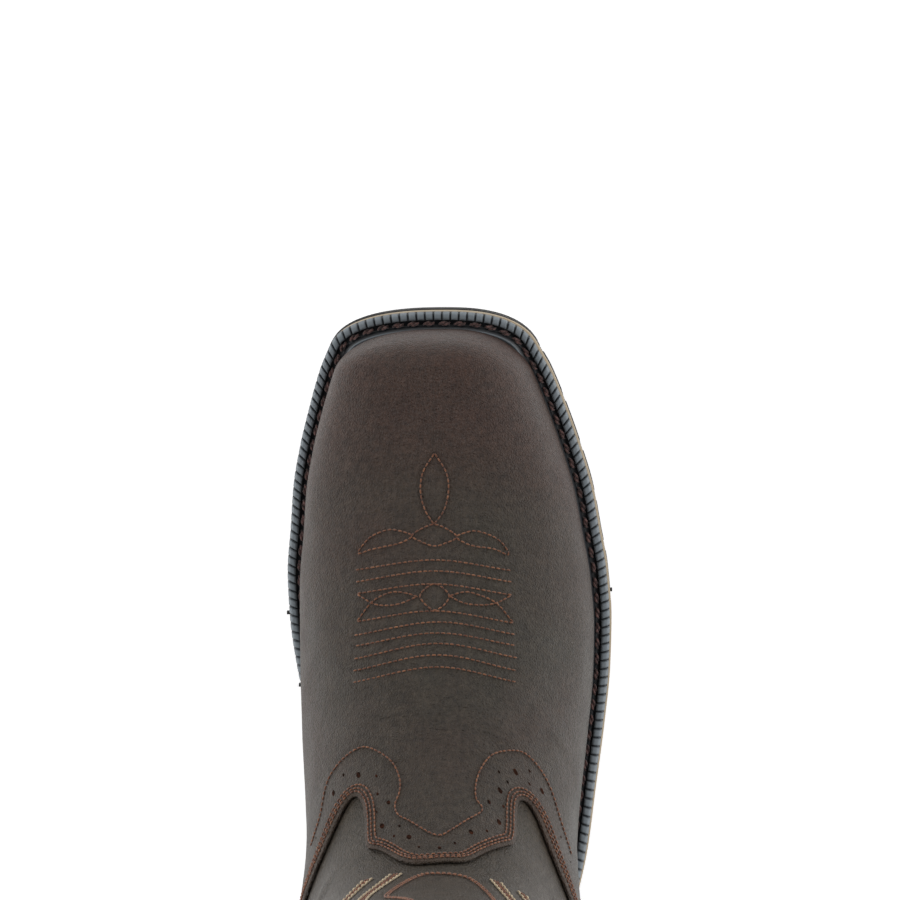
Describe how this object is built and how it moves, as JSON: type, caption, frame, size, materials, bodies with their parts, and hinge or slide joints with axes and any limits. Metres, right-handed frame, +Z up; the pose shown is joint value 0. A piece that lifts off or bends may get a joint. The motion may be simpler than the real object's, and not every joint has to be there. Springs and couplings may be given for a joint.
{
  "type": "western work boot",
  "caption": "Pull-on western work boot for the right foot: square toe, stitched leather vamp, ribbed welt, tan midsole, lug sole and block heel.",
  "frame": {"origin": "centre of the boot's outline, on the floor", "axes": "+Z up, the toe toward -Y, the wearer's right (outer side) toward -X"},
  "size_m": [0.1338, 0.312, 0.3471],
  "materials": {
    "tread_rubber": "matte black rubber",
    "midsole_tan": "matte tan",
    "welt_rubber": "satin blue-black",
    "insole_leather": "matte tan leather",
    "shaft_leather": "oiled dark brown",
    "vamp_leather": "oiled dark brown, satin"
  },
  "bodies": {
    "root": {"outsole": "tread_rubber", "heel": "tread_rubber", "midsole": "midsole_tan", "welt": "welt_rubber", "insole": "insole_leather", "upper": "shaft_leather", "vamp": "vamp_leather", "heel_counter": "vamp_leather", "side_seam_outer": "vamp_leather", "side_seam_inner": "vamp_leather", "collar_binding": "vamp_leather", "pull_strap_outer": "shaft_leather", "pull_strap_inner": "shaft_leather"}
  },
  "joints": []
}
